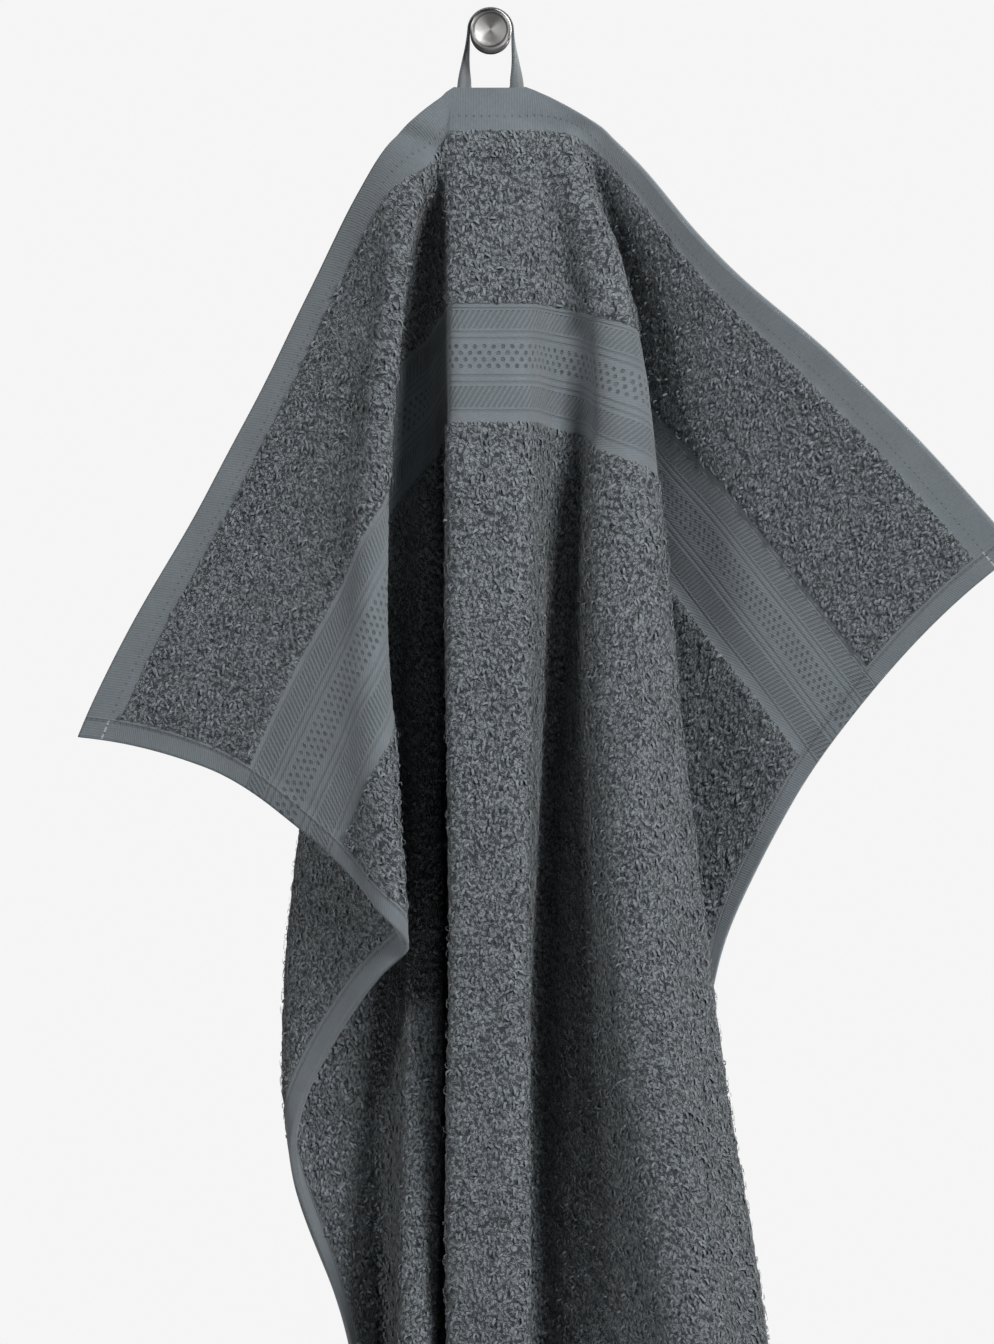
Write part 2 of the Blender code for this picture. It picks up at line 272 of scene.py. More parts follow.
def hang(u, v):
    """The place in the air, in mm, of the point u across and v down the flat cloth."""
    offset = np.maximum(np.abs(u) - PANEL, 0)
    r = np.clip(np.hypot(offset, v), 0.6, DISTANCE[-1] - 1)
    along = np.where(offset > 0, np.sign(u) * (PANEL + r * np.arctan2(offset, v)), u)
    i = np.minimum(r.astype(int), len(DISTANCE) - 2)
    t = r - i
    knots = ALONG[:, i] * (1 - t) + ALONG[:, i + 1] * t
    places = PLACE[:, :, i] * (1 - t) + PLACE[:, :, i + 1] * t
    width = np.maximum(np.diff(knots, axis=0), 1e-3)
    slope = np.diff(places, axis=0) / width[:, None]
    found = places[0] + slope[0] * (along - knots[0])
    for j in range(1, len(FOLDS) - 1):
        least = 0.5 * np.minimum(width[j - 1], width[j])
        soft = np.minimum(FOLDS[j][0], np.maximum(least, LEAST_SOFT))
        x = along - knots[j]
        bend = np.where(x < -soft, 0, np.where(x > soft, x, (x + soft) ** 2 / (4 * soft)))
        found = found + (slope[j] - slope[j - 1]) * bend
        # A fold turned back on itself swells into a drop shape, so that its two legs stay apart.
        before, after = slope[j - 1][:2], slope[j][:2]
        turn = before - after
        apart = np.stack([-turn[1], turn[0]]) / np.maximum(np.hypot(*turn), 1e-6)
        apart *= np.sign((apart * (before + after)).sum(axis=0))
        both = np.maximum(np.hypot(*before) + np.hypot(*after), 1e-6)
        hairpin = 1 - np.hypot(*(before + after)) / both
        drop = FULLNESS * np.minimum(soft, least) * np.clip(hairpin, 0, 1)
        found[:2] += apart * drop * (x / soft) * np.exp(0.5 - 0.5 * (x / soft) ** 2)
    return found.T


print("top corners hang at", hang(np.array([-250.0, 250.0]), np.zeros(2)).round())

# %% [markdown]
# The cloth isn't the same thickness all over. Terry stands about a millimetre proud of
# the flat borders on both faces, and a hem is two layers of flat cloth. A bump would look
# flat at the towel's outline, so the edges of the terry are real steps in the mesh, with
# grid lines on both sides of each. Cloth that hangs from a narrow loop also creases
# beside it: a few short grooves, given in front view, press it back there.

# %% Sizes of the weave, in mm
END_HEM = 13.8
SIDE_HEM = 7.5
BORDER = (69.0, 106.0)
STEP = 1.0  # the width of the slope at the edge of the terry
HALF_THICK = {"terry": 1.45, "border": 0.75, "hem": 1.15}
LUMPS = 0.45  # how far the terry's surface goes up and down
UNEVEN = 0.4  # the slow waves of the whole cloth
EVEN_TO, WAVY_FROM = 30.0, 110.0  # how far from the loop the waves start and are full
WAVES = (  # length across, length down, phase, share
    (17.0, 41.0, 0.0, 1.0),
    (-53.0, 29.0, 1.3, 1.0),
    (8.5, -67.0, 0.4, 0.5),
)
CREASES = (  # from x, z to x, z in front view, half width, depth
    (-31.0, -31.0, -17.0, -36.5, 2.6, 3.0),
    (9.0, -27.0, 20.0, -31.0, 3.0, 1.6),
    (20.0, -31.0, 34.0, -31.0, 3.2, 1.6),
)
CHANCE = np.random.default_rng(11)


def smooth_step(x, low, high):
    t = np.clip((x - low) / (high - low), 0, 1)
    return t * t * (3 - 2 * t)


def terry_share(u, v):
    """1 in the terry, 0 on a hem or a border."""
    end = np.minimum(v, LENGTH - v)
    side = HALF_WIDTH - np.abs(u)
    inside = (smooth_step(end, END_HEM, END_HEM + STEP)
              * smooth_step(side, SIDE_HEM, SIDE_HEM + STEP))
    low, high = BORDER
    border = smooth_step(end, low - STEP, low) * (1 - smooth_step(end, high, high + STEP))
    return inside * (1 - border), border


def half_thickness(u, v):
    terry, border = terry_share(u, v)
    side = smooth_step(HALF_WIDTH - np.abs(u), SIDE_HEM, SIDE_HEM + STEP)
    flat = HALF_THICK["hem"] + (HALF_THICK["border"] - HALF_THICK["hem"]) * border * side
    return flat + (HALF_THICK["terry"] - flat) * terry


print("half thickness in mm:", HALF_THICK)

# %% The lines of the flat grid
PITCH, LOWER_PITCH, HEM_PITCH = 2.6, 8.5, 4.5  # of the part in the photo, of the rest, by its end
FINE_TO = 430.0  # the part in the photo ends here, in mm down the cloth
EDGE = 1.0  # the first line in from an edge


def spaced(marks, pitch):
    """Values that pass through every mark, about a pitch apart."""
    out = [marks[0]]
    for a, b in zip(marks, marks[1:]):
        count = max(1, round((b - a) / pitch))
        out += [a + (b - a) * k / count for k in range(1, count + 1)]
    return np.array(out)


SIDE_MARKS = [SIDE_HEM, SIDE_HEM + STEP]
half = [0, PANEL, *(HALF_WIDTH - m for m in SIDE_MARKS[::-1]), HALF_WIDTH - EDGE, HALF_WIDTH]
across = spaced(half, PITCH)
across = np.concatenate([-across[:0:-1], across])
near = [0, EDGE, END_HEM, END_HEM + STEP, BORDER[0] - STEP, BORDER[0], BORDER[1], BORDER[1] + STEP]
down = np.concatenate([
    spaced([*near, FINE_TO], PITCH), spaced([FINE_TO, LENGTH - near[-1]], LOWER_PITCH)[1:],
    spaced([LENGTH - m for m in near[::-1]], HEM_PITCH)[1:]])
print(len(across), "by", len(down), "lines,", 4 * (len(across) - 1) * (len(down) - 1), "triangles")

# %% Weave a sheet from the grid


def outward(u, v, d=0.8):
    """The direction that the front of the cloth faces at each point."""
    du = np.where(u > HALF_WIDTH - d, -d, d)
    dv = np.where(v > LENGTH - d, -d, d)
    here = hang(u, v)
    right = (hang(u + du, v) - here) * np.sign(du)[:, None]
    below = (hang(u, v + dv) - here) * np.sign(dv)[:, None]
    normal = np.cross(below, right)
    return normal / np.maximum(np.linalg.norm(normal, axis=1), 1e-9)[:, None]


def grid_mesh(name, points, faces, uv, material):
    """An object of these points in mm, with the flat place of each point as its UV."""
    mesh = bpy.data.meshes.new(name)
    mesh.from_pydata((np.asarray(points) * MM).tolist(), [], np.asarray(faces).tolist())
    layer = mesh.uv_layers.new(name="flat")
    loops = np.empty(len(mesh.loops), int)
    mesh.loops.foreach_get("vertex_index", loops)
    layer.data.foreach_set("uv", np.asarray(uv)[loops].astype(np.float32).ravel())
    mesh.polygons.foreach_set("use_smooth", np.full(len(mesh.polygons), True))
    mesh.materials.append(material)
    return put_in_scene(name, mesh)


def creases(x, z):
    """How far each short crease by the shoulders presses the cloth back."""
    pressed = np.zeros(len(x))
    for x0, z0, x1, z1, width, depth in CREASES:
        over, down = x1 - x0, z1 - z0
        share = np.clip(((x - x0) * over + (z - z0) * down) / (over ** 2 + down ** 2), 0, 1)
        away = np.hypot(x - x0 - share * over, z - z0 - share * down)
        pressed += depth * np.exp(-(away / width) ** 2)
    return pressed


def surface(u, v):
    """The middle of the uneven cloth, and the way that its front faces."""
    normal = outward(u, v)
    waves = sum(share * np.sin(u / wide + v / tall + phase) for wide, tall, phase, share in WAVES)
    free = smooth_step(np.hypot(np.maximum(np.abs(u) - PANEL, 0), v), EVEN_TO, WAVY_FROM)
    place = hang(u, v)
    proud = UNEVEN * waves * free - creases(place[:, 0], place[:, 2])
    return place + normal * proud[:, None], normal


def cloth_sheet(name, material):
    u, v = (a.ravel() for a in np.meshgrid(across, down))
    middle, normal = surface(u, v)
    terry = terry_share(u, v)[0]
    front, back = (half_thickness(u, v) + LUMPS * terry * CHANCE.uniform(-1, 1, len(u))
                   for _ in range(2))
    columns, rows = len(across), len(down)
    first = (np.arange(rows - 1)[:, None] * columns + np.arange(columns - 1)).ravel()
    quads = np.stack([first, first + columns, first + columns + 1, first + 1], axis=1)
    count = len(u)
    rim = np.concatenate([
        np.arange(columns), np.arange(2, rows + 1) * columns - 1,
        (rows - 1) * columns + np.arange(columns - 2, -1, -1),
        np.arange(rows - 2, 0, -1) * columns])
    after = np.roll(rim, -1)
    walls = np.stack([rim, after, after + count, rim + count], axis=1)
    faces = np.concatenate([quads, quads[:, ::-1] + count, walls])
    points = np.concatenate([middle + normal * front[:, None], middle - normal * back[:, None]])
    uv = np.stack([(u + HALF_WIDTH) / (2 * HALF_WIDTH), v / LENGTH], axis=1)
    return grid_mesh(name, points, faces, np.concatenate([uv, uv]), material)


# %% [markdown]
# The cloth's finish is drawn in millimetres on the flat towel, as a weaver would chart
# it. A photo of cloth would do it faster, but it would show its own folds and light, so
# each mark is a short expression on the distance from the nearest edges. Some marks
# still carry painted light: the gaps between terry loops, the grooves between border ribs
# and the hem seams are painted dark as shade, and the folded hem edge is painted lighter.

# %% Colours, and places on the flat cloth
# The dark colour is painted shade in the gaps between terry loops, in the grooves between border
# ribs and in the hem seams, and also the colour of the border's thin lines and dots.
SHADE_AND_PATTERN_COLOUR, LOOP_COLOUR = (0.023, 0.029, 0.033, 1), (0.222, 0.252, 0.273, 1)
FLAT_DARK, FLAT_LIGHT = (0.054, 0.064, 0.071, 1), (0.168, 0.192, 0.209, 1)
THREAD_COLOUR = (0.36, 0.38, 0.40, 1)
CLOTH_FINISH = {"Sheen Weight": 0.2, "Sheen Roughness": 0.6, "Specular IOR Level": 0.12}


def flat_place(start):
    """The place on the flat cloth, in mm from its top left corner."""
    flat = start.make("ShaderNodeUVMap", {"uv_map": "flat"})
    return start.make("ShaderNodeVectorMath", {"operation": "MULTIPLY"},
                      {0: flat, 1: (2 * HALF_WIDTH, LENGTH, 0)})


print("greys of the terry:", SHADE_AND_PATTERN_COLOUR[:3], "to", LOOP_COLOUR[:3])

# %% [markdown]
# Terry is a bed of small loops that lean downwards as the towel hangs. A cell pattern,
# stretched along the cloth and stirred by noise, gives each loop a top in the yarn's grey
# and a gap round it that is painted dark as shade, and slower noise gathers the loops in
# clumps.

# %% The terry
LOOP_PITCH, LOOP_TALL = 0.95, 0.62
SWIRL = 2.6  # how far the noise pushes a loop aside, in mm


def pile_height(place, fine, clump):
    """The height of the pile, about 0 in a gap and 1 on a loop."""
    swirl = place.make("ShaderNodeVectorMath", {"operation": "MULTIPLY_ADD"},
                       {0: place.grain(0.9, out=1), 1: (SWIRL, SWIRL, 0), 2: place})
    tall = place.make("ShaderNodeVectorMath", {"operation": "MULTIPLY"},
                      {0: swirl, 1: (1.0, LOOP_TALL, 0)})
    loops = place.make("ShaderNodeTexVoronoi", {"voronoi_dimensions": "2D", "feature": "F1"},
                       {"Vector": tall, "Scale": 1 / LOOP_PITCH, "Randomness": 1.0})
    return loops.rise(0.12, 0.72, 1.0, 0.0) * 0.66 + fine * 0.30 + (clump - 0.5) * 0.7


print("loops to a square cm:", round(100 / LOOP_PITCH ** 2 * LOOP_TALL))

# %% [markdown]
# Each woven border has two bands of slanted ribs, thin lines beside them, and a band of
# small dots, staggered like a chessboard. The chart gives each as a range of millimetres
# from the border's outer edge, and a little noise keeps the dots from looking printed.
# The grooves between the ribs are painted dark as shade, besides their bump.

# %% The borders
RIB_PITCH, RIB_SLANT = 1.8, 0.625
RIB_BANDS = ((2.2, 7.6), (26.2, 32.4))
LINES = ((8.6, 9.1), (10.6, 11.1), (22.3, 22.8), (24.4, 24.9), (33.4, 33.9), (1.2, 1.5))
DOT_WIDE, DOT_TALL = 1.5, 2.05
DOTS_FROM, DOT_ROWS = 12.4, 4


def any_of(value, ranges, soft):
    """1 where the value is in one of the ranges."""
    first, *others = (value.between(low, high, soft) for low, high in ranges)
    for mask in others:
        first = first.most(mask)
    return first


def border_marks(u, t, fine):
    """The grooves between ribs, the thin lines and the dots, t mm from the border's outer edge."""
    rib = (u + t * RIB_SLANT + (fine - 0.5) * 0.5).sine(RIB_PITCH).rise(-0.55, 0.75)
    groove = (1 - rib) * any_of(t, RIB_BANDS, 0.35)
    row, column = (t - DOTS_FROM) / DOT_TALL, u / DOT_WIDE
    checker = ((row.maths("FLOOR") + column.maths("FLOOR")) % 2.0).rise(0.4, 0.6)
    across_dot = abs(column % 1.0 - 0.5) * DOT_WIDE
    down_dot = abs(row % 1.0 - 0.5) * DOT_TALL
    radius = (across_dot * across_dot + down_dot * down_dot).maths("SQRT") + (fine - 0.5) * 0.5
    band = t.between(DOTS_FROM + 0.2, DOTS_FROM + DOT_ROWS * DOT_TALL - 0.2, 0.2)
    return groove, any_of(t, LINES, 0.3), radius.rise(0.50, 0.82, 1.0, 0.0) * checker * band


print("rib bands in mm:", RIB_BANDS, "and", DOT_ROWS, "rows of dots")

# %% [markdown]
# A hem is flat cloth folded over and stitched down. It shows fine ribs of weave, the soft
# ridge of its folded edge, and a dented seam with a light thread in it at the corners.
# Besides their bumps, the ridge is painted lighter as a painted highlight and the seams
# darker as painted shade.

# %% The hems
STITCH = 2.4
SIDE_SEAM, SIDE_FOLD, END_SEAM = (5.8, 6.3), (6.8, 7.2), (9.4, 9.8)  # in mm from the edge


def stitches(along):
    return ((along / STITCH) % 1.0).between(0.12, 0.8, 0.08)


def hem_marks(u, v, side, end):
    """Weave, folded ridge, the seams at the sides and ends, their stitches, and light thread."""
    weft, warp = u.sine(0.85) * 0.5 + 0.5, (v + u * 0.35).sine(0.8) * 0.5 + 0.5
    is_end = end.rise(END_HEM, END_HEM + 0.4, 1.0, 0.0)
    weave = is_end.make("ShaderNodeMix", {"data_type": "FLOAT"}, {0: is_end, 2: warp, 3: weft})
    seam_side = side.between(*SIDE_SEAM, 0.3)
    seam_end = end.between(*END_SEAM, 0.3) * (1 - side.rise(0.2, 0.5, 1.0, 0.0))
    stitch_end = stitches(u) * seam_end
    thread = stitch_end * side.rise(SIDE_HEM - 0.6, SIDE_HEM + 0.4, 1.0, 0.12)
    return (weave, side.between(*SIDE_FOLD, 0.25), seam_side, seam_end,
            stitches(v) * seam_side, stitch_end, thread)


print("hems in mm: side", SIDE_HEM, "and end", END_HEM)

# %% [markdown]
# One material carries all of it, because it is one cloth. Masks say where the terry, the
# borders and the hems are, with edges that noise makes a little uneven.

# %% The whole cloth


def towel_material(name):
    made, shader, start = start_material(name)
    place = flat_place(start)
    u, v = place.part(0), place.part(1)
    side, end = u.least(2 * HALF_WIDTH - u), v.least(LENGTH - v)
    broad, clump, fine = place.grain(0.055, 3.0), place.grain(0.30), place.grain(0.85, 3.0)
    edge = (place.grain(0.45) - 0.5) * 3.2

    border = (end + edge * 0.35).between(*BORDER, 0.4)
    inside = (side + edge * 0.5).rise(SIDE_HEM - 0.1, SIDE_HEM + 0.4)
    below_hem = (end + edge * 0.5).rise(END_HEM - 0.1, END_HEM + 0.4)
    terry = inside * below_hem * (1 - border)

    pile = pile_height(place, fine, clump)
    groove, lines, dots = border_marks(u, end - BORDER[0], fine)
    weave, ridge, seam_side, seam_end, stitch, stitch_end, thread = hem_marks(u, v, side, end)

    # Painted highlight: the folded ridge of the side hem is painted lighter.
    flat_shade = (weave * 0.12 + (fine - 0.5) * 0.35 + (broad - 0.5) * 0.35 + 0.55 + ridge * 0.15
                  + border * inside * 0.08)
    flat_colour = flat_shade.mix(FLAT_DARK, FLAT_LIGHT)
    for mark, colour in (
            # Painted shade in the grooves between ribs; the thin lines are the border's woven
            # pattern.
            (groove * (0.10 + fine * 0.42) + lines * 0.20, SHADE_AND_PATTERN_COLOUR),
            (dots * (0.08 + clump * 0.85), SHADE_AND_PATTERN_COLOUR),
            # Painted shade in the dented seams.
            (seam_side * 0.30 + seam_end * 0.25, SHADE_AND_PATTERN_COLOUR),
            (thread * 0.8, THREAD_COLOUR)):
        flat_colour = mark.mix(flat_colour, colour)
    # Painted shade: the gaps between loops go dark where the pile is low.
    terry_colour_with_gap_shade = (pile + (broad - 0.5) * 0.3).rise(0.05, 1.05).mix(SHADE_AND_PATTERN_COLOUR, LOOP_COLOUR)
    flat_height = (weave * 0.08 - groove * 0.30 - dots * 0.35 - lines * 0.2 - seam_side * 0.2
                   - seam_end * 0.2 + ridge * 0.25 + stitch * 0.15 + stitch_end * 0.2)
    height = terry * pile * 1.1 + (1 - terry) * flat_height
    feed(shader, {"Base Color": terry.mix(flat_colour, terry_colour_with_gap_shade),
                  "Roughness": 0.82 + terry * 0.15,
                  "Normal": height.bump(1.0, 1.0), **CLOTH_FINISH})
    return made


towel = cloth_sheet("towel_sheet", towel_material("terry_cloth"))
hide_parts("towel")
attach(towel, "root")
print("towel:", len(towel.data.polygons), "faces")

# %% [markdown]
# Terry is never smooth where it is seen edge-on: loops stand out along every fold. A
# bump can't do that, so small arched ribbons of yarn are scattered over both faces,
# closer together in the upper part. Most stand along the cloth, as the pile does, and
# each takes one shade of its own.

# %% Standing loops of the terry
LOOP_COUNT = 32000
UPPER_SHARE, UPPER = 0.78, 440.0
LOOP_LONG, LOOP_HIGH, YARN = 1.05, 1.05, 0.31  # half length, height and half width, in mm
SUNK = 0.35  # how deep a loop's feet stand in the cloth, in mm
YARN_DARK, YARN_LIGHT = (0.072, 0.084, 0.093, 1), (0.205, 0.232, 0.251, 1)


def terry_places(count):
    """Random places on the flat cloth, all in the terry."""
    upper = CHANCE.random(3 * count) < UPPER_SHARE
    v = np.where(upper, CHANCE.uniform(0, UPPER, 3 * count),
                 CHANCE.uniform(UPPER, LENGTH, 3 * count))
    u = CHANCE.uniform(-HALF_WIDTH, HALF_WIDTH, 3 * count)
    kept = np.flatnonzero(terry_share(u, v)[0] > 0.6)[:count]
    return u[kept], v[kept]


def standing_loops(name, face, material):
    u, v = terry_places(LOOP_COUNT)
    count = len(u)
    middle, normal = surface(u, v)
    normal = normal * face
    turn = CHANCE.normal(math.pi / 2, 0.6, count)
    along = np.stack([np.cos(turn), np.zeros(count), np.sin(turn)], axis=1)
    along -= normal * (along * normal).sum(axis=1)[:, None]
    along /= np.maximum(np.linalg.norm(along, axis=1), 0.2)[:, None]
    wide = np.cross(normal, along) * YARN * CHANCE.uniform(0.8, 1.3, count)[:, None]
    foot = middle + normal * (half_thickness(u, v) - SUNK)[:, None]
    long = along * LOOP_LONG * CHANCE.uniform(0.7, 1.3, count)[:, None]
    high = normal * LOOP_HIGH * CHANCE.uniform(0.5, 1.25, count)[:, None]
    lean = along * CHANCE.uniform(-0.4, 0.4, count)[:, None]
    top = foot + high + lean
    arch = [foot - long, top - long * 0.6, top + long * 0.55, foot + long]
    points = np.stack([p + side * wide for p in arch for side in (-1, 1)], axis=1).reshape(-1, 3)
    first = np.arange(count)[:, None] * 8
    quads = np.concatenate([first + (2 * k + np.array([0, 1, 3, 2])) for k in range(3)])
    uv = np.repeat(np.stack([(u + HALF_WIDTH) / (2 * HALF_WIDTH), v / LENGTH], axis=1), 8, axis=0)
    return grid_mesh(name, points, quads, uv, material)


def yarn_material(name):
    made, shader, start = start_material(name)
    flat = start.make("ShaderNodeUVMap", {"uv_map": "flat"})
    shade = start.make("ShaderNodeTexWhiteNoise", {"noise_dimensions": "2D"}, {"Vector": flat})
    feed(shader, {"Base Color": shade.mix(YARN_DARK, YARN_LIGHT), "Roughness": 0.95,
                  **CLOTH_FINISH, "Sheen Roughness": 0.5})
    return made


yarn = yarn_material("terry_yarn")
loops_front = standing_loops("loops_front", 1, yarn)
loops_back = standing_loops("loops_back", -1, yarn)
for piece in (loops_front, loops_back):
    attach(piece, "root")
print("standing loops:", len(loops_front.data.polygons) // 3, "on each face")

# %% [markdown]
# The loop is a narrow woven tape. Its middle lies over the hook, and each leg turns
# towards the front on its way down, to lie flat behind the hem, where it is sewn.

# %% The loop tape
STEM_R, GAP = 6.1, 0.3
TAPE_WIDTH, TAPE_T = 8.0, 0.9
TAPE_UNIT = 100.0  # the length that one step of its UV stands for
LEG_TOP_X, LEG_MID_X, LEG_FOOT_X = STEM_R + GAP + TAPE_T / 2, 8.0, 6.2
TAPE_FRONT_Y = TOP_Y + CLOTH / 2 + 0.4
LEG = ((LEG_FOOT_X, -27.0, 90), (LEG_FOOT_X, -24.6, 90), (LEG_FOOT_X + 0.2, -22.6, 80),
       (LEG_FOOT_X + 0.7, -20.8, 58), (LEG_MID_X, -18.8, 36), (8.1, -15.0, 26), (7.8, -10.0, 13),
       (7.2, -4.5, 4), (LEG_TOP_X, 0.0, 0))


def tape_path():
    """Place and turn of the tape, from one foot over the hook to the other."""
    path = [(-x, z, math.radians(turn)) for x, z, turn in LEG]
    path += [(LEG_TOP_X * math.cos(a), LEG_TOP_X * math.sin(a), 0.0)
             for a in np.linspace(math.pi, 0, 18)[1:-1]]
    path += [(x, z, -math.radians(turn)) for x, z, turn in LEG[::-1]]
    path = np.array(path)
    length = np.concatenate([[0], np.cumsum(np.hypot(*np.diff(path[:, :2], axis=0).T))])
    fine = np.linspace(0, length[-1], 160)
    return fine, np.stack([through(length, column, fine) for column in path.T], axis=1)


def tape_band(name, material):
    length, path = tape_path()
    ahead = np.gradient(path[:, :2], axis=0)
    ahead /= np.linalg.norm(ahead, axis=1)[:, None]
    w, t = TAPE_WIDTH / 2, TAPE_T / 2
    rim = [(-w, -t * 0.4), *((x, -t) for x in (0.35 - w, -2.2, 0, 2.2, w - 0.35)), (w, -t * 0.4)]
    rim += [(x, -y) for x, y in rim[::-1]]
    points, uv = [], []
    for s, (x, z, turn), (ax, az) in zip(length, path, ahead):
        wide = np.array([az * math.sin(turn), math.cos(turn), -ax * math.sin(turn)])
        thick = np.cross(wide, (ax, 0, az))
        y = TAPE_FRONT_Y + TAPE_T / 2 * abs(math.sin(turn)) + TAPE_WIDTH / 2 * math.cos(turn)
        for a, b in rim:
            points.append(np.array([x, y, z]) + wide * a + thick * b)
            uv.append((a / TAPE_WIDTH + 0.5, s / TAPE_UNIT))
    n = len(rim)
    faces = []
    for k in range(len(path) - 1):
        for j in range(n):
            a, b = n * k + j, n * k + (j + 1) % n
            faces.append((b, a, a + n, b + n))
    last = n * (len(path) - 1)
    for a, b in ((0, 1), (last, -1)):
        for j in range(n // 2 - 1):
            faces.append(tuple(a + k for k in (j, j + 1, n - 2 - j, n - 1 - j)[::b]))
    return grid_mesh(name, points, faces, uv, material), length[-1]


def tape_material(name):
    made, shader, start = start_material(name)
    flat = start.make("ShaderNodeUVMap", {"uv_map": "flat"})
    across_tape, along_tape = flat.part(0) * TAPE_WIDTH, flat.part(1) * TAPE_UNIT
    from_middle = abs(across_tape - TAPE_WIDTH / 2)
    twill = (along_tape + from_middle * 0.9).sine(0.9) * 0.5 + 0.5
    broad = start.make("ShaderNodeTexNoise", (), {"Vector": flat, "Scale": 9.0, "Detail": 3.0})
    shade = twill * 0.45 + broad * 0.6 - from_middle.rise(3.4, 3.7) * 0.2
    feed(shader, {"Base Color": shade.mix(FLAT_DARK, FLAT_LIGHT), "Roughness": 0.85,
                  "Normal": twill.bump(0.9, 0.25), "Sheen Weight": 0.2})
    return made


tape, tape_length = tape_band("loop_band", tape_material("loop_twill"))
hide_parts("hanging_loop")
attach(tape, "root")
print("tape length in mm:", round(tape_length))

# %% [markdown]
# The hook is turned from steel bar. A lathe leaves fine rings on its face, drawn from
# the distance to the axis. The bright wedges that the rings make of each highlight are a
# painted reflection in the colour, lighter left and right and darker above and below, and
# the step and the rim of the face carry painted dark rings. Turning a short profile round
# the axis makes the shape just as the lathe does.

# %% The hook
HEAD_R, HEAD_FRONT, HEAD_BACK = 6.5, -39.0, -31.0
FOOT_R, FOOT_T = 6.4, 3.0


def lathe(name, profile, material, steps=96):
    """A solid turned about the Y axis from (radius, y) points that start and end on the axis."""
    angles = np.arange(steps) * 2 * math.pi / steps
    ring = np.stack([np.cos(angles), np.zeros(steps), np.sin(angles)], axis=1)
    points = [np.array([[0, profile[0][1], 0]])]
    points += [ring * radius + (0, y, 0) for radius, y in profile[1:-1]]
    points.append(np.array([[0, profile[-1][1], 0]]))
    mesh = bpy.data.meshes.new(name)
    after = (np.arange(steps) + 1) % steps
    faces = [(0, 1 + k, 1 + after[k]) for k in range(steps)]
    for level in range(len(profile) - 3):
        a = 1 + level * steps
        faces += [(a + k, a + steps + k, a + steps + after[k], a + after[k]) for k in range(steps)]
    a = 1 + (len(profile) - 3) * steps
    faces += [(a + steps, a + after[k], a + k) for k in range(steps)]
    faces = [tuple(map(int, face)) for face in faces]
    mesh.from_pydata((np.concatenate(points) * MM).tolist(), [], faces)
    mesh.polygons.foreach_set("use_smooth", np.full(len(mesh.polygons), True))
    mesh.set_sharp_from_angle(angle=math.radians(28))
    mesh.materials.append(material)
    return put_in_scene(name, mesh)


def turned_steel(name, tint):
    made, shader, start = start_material(name)
    place = start.make("ShaderNodeTexCoord", (), (), 3)
    x, z = place.part(0) / MM, place.part(2) / MM
    radius = (x * x + z * z).maths("SQRT")
    grooves = radius.make("ShaderNodeTexNoise", {"noise_dimensions": "1D"},
                          {"W": radius, "Scale": 9.0, "Detail": 4.0, "Roughness": 0.75})
    # Painted reflection: the face is lighter left and right and darker above and below.
    painted_reflection_wedge = (z.maths("ARCTAN2", x) * 2.0 + 0.2).maths("COSINE").rise(-0.95, 0.75)
    # Painted reflection: dark rings at the step and at the rounded rim of the face.
    painted_dark_rings = radius.between(4.95, 5.35, 0.12).most(radius.rise(6.1, 6.4))
    shade = (grooves * 0.25 + painted_reflection_wedge * 0.65 + 0.06) * (1 - painted_dark_rings * 0.8)
    dark = tuple(0.12 * c for c in tint) + (1,)
    feed(shader, {"Base Color": shade.mix(dark, (*tint, 1)), "Metallic": 1.0,
                  "Roughness": 0.24 + grooves * 0.22, "Normal": grooves.bump(0.5, 0.05)})
    return made


knob = lathe("hook_head", (
    (0, HEAD_FRONT + 0.5), (1.2, HEAD_FRONT + 0.5), (4.9, HEAD_FRONT + 0.45),
    (5.3, HEAD_FRONT + 0.35), (5.55, HEAD_FRONT), (5.75, HEAD_FRONT), (6.3, HEAD_FRONT + 0.4),
    (HEAD_R, HEAD_FRONT + 1.0), (HEAD_R, HEAD_BACK - 0.3), (HEAD_R - 0.3, HEAD_BACK),
    (0, HEAD_BACK)), turned_steel("turned_head", (0.84, 0.83, 0.81)))
# The neck is the same steel at half the head's brightness: painted shade, as it stands behind the
# head and under the loop.
stem = lathe("hook_neck", (
    (0, HEAD_BACK + GAP), (STEM_R, HEAD_BACK + GAP), (STEM_R, -FOOT_T), (FOOT_R, -FOOT_T),
    (FOOT_R, 0), (0, 0)), turned_steel("turned_neck_shaded", (0.42, 0.41, 0.40)))
for piece, node in ((knob, "hook_knob"), (stem, "hook_stem")):
    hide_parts(node)
    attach(piece, "root")
print("head in mm:", [round(x / MM, 1) for x in knob.dimensions])

# %% [markdown]
# The studio is plain: a pale floor under the towel, one large soft light at the front
# right for the shape of the folds, and weaker ones at the left and behind. The air could
# be one bright colour, but that would light the deep folds too. So it is bright only
# where the camera looks at it, and the floor's far end is kept pale in the same way.

# %% Floor, light and camera
AMBIENT, PAPER = 0.022, 0.915  # brightness of the air on the cloth and behind it
FLOOR_SIZE, FLOOR_BELOW = 3.0, 0.012
FLOOR_GREY, FLOOR_GLOW, GLOW_SHARE = (0.80, 0.80, 0.80, 1), 0.9, 0.6
LIGHTS = (  # name, place, aim, size, watts
    ("key", (1.1, -1.75, 0.95), (0, 0, -0.12), 0.6, 66),
    ("fill", (-1.7, -1.5, 0.8), (0, 0, -0.12), 0.7, 18),
    ("back", (0.8, 1.8, 0.4), (0, 0, -0.4), 1.2, 45),
)


def seen_by_camera(tree):
    return Socket(tree, None).make("ShaderNodeLightPath")


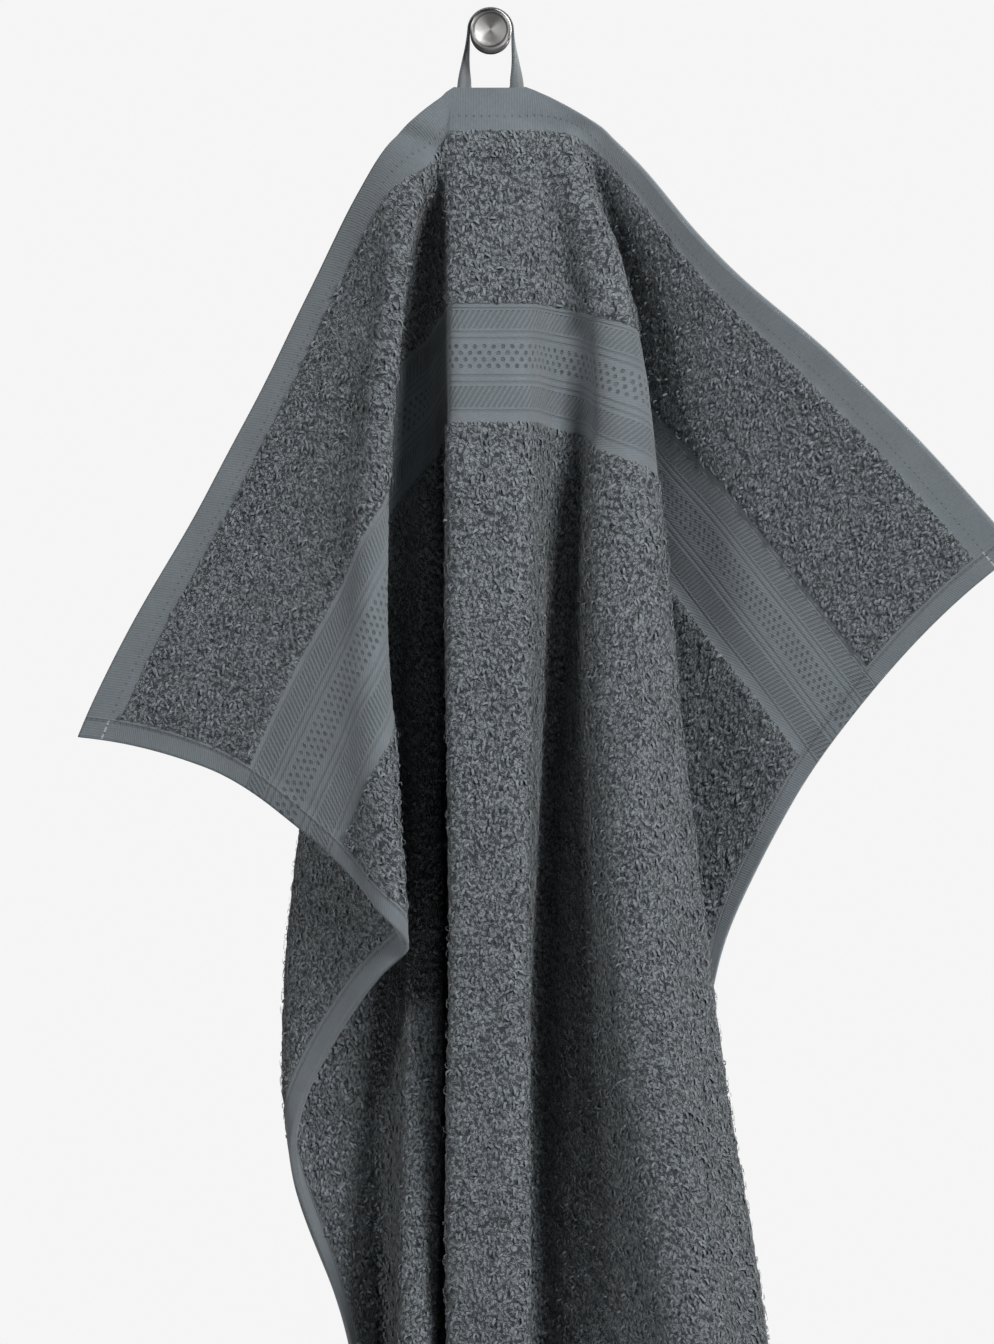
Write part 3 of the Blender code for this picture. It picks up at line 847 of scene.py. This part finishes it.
def floor_plane():
    mesh = bpy.data.meshes.new("studio_floor")
    r, z = FLOOR_SIZE, cad_box[0][2] - FLOOR_BELOW
    mesh.from_pydata([(-r, -r, z), (r, -r, z), (r, r, z), (-r, r, z)], [], [(0, 1, 2, 3)])
    made, shader, start = start_material("studio_paper")
    feed(shader, {"Base Color": FLOOR_GREY, "Roughness": 0.9})
    glow = start.make("ShaderNodeEmission", (), {"Color": FLOOR_GREY, "Strength": FLOOR_GLOW})
    pale = start.make("ShaderNodeMixShader", (), {
        0: seen_by_camera(start.tree) * GLOW_SHARE, 1: Socket(start.tree, shader.outputs[0]),
        2: glow})
    feed(start.tree.nodes["Material Output"], {"Surface": pale})
    mesh.materials.append(made)
    floor = put_in_scene("studio_floor", mesh)


floor_plane()
for name, place, aim, size, watts in LIGHTS:
    lamp = bpy.data.lights.new(name, "AREA")
    lamp.shape, lamp.size, lamp.energy = "SQUARE", size, watts
    light = put_in_scene(name, lamp)
    light.location = place
    light.rotation_euler = (Vector(aim) - Vector(place)).to_track_quat("-Z", "Y").to_euler()

world = bpy.data.worlds.new("studio_air")
bpy.context.scene.world = world
world.use_nodes = True
air = seen_by_camera(world.node_tree).mix((AMBIENT,) * 3 + (1,), (PAPER,) * 3 + (1,))
feed(world.node_tree.nodes["Background"], {"Color": air})
bpy.context.scene.view_settings.view_transform = "Standard"

CAMERA_AWAY = 5.0  # in front of the hook's foot, in metres
PHOTO_HEIGHT, PHOTO_MIDDLE = 0.42, (0.002, -0.2006)  # of what the photo shows, at the top hem
camera = bpy.data.cameras.new("photo_camera")
camera.sensor_width = 36
camera.lens = camera.sensor_width * (CAMERA_AWAY + TOP_Y * MM) / PHOTO_HEIGHT
view = put_in_scene("photo_camera", camera)
view.location = (PHOTO_MIDDLE[0], -CAMERA_AWAY, PHOTO_MIDDLE[1])
view.rotation_euler = (math.pi / 2, 0, 0)
bpy.context.scene.camera = view
print("lens in mm:", round(camera.lens, 1))

# %% [markdown]
# The tape is too narrow for a sheet of its own, so it hangs on the same body as the towel.
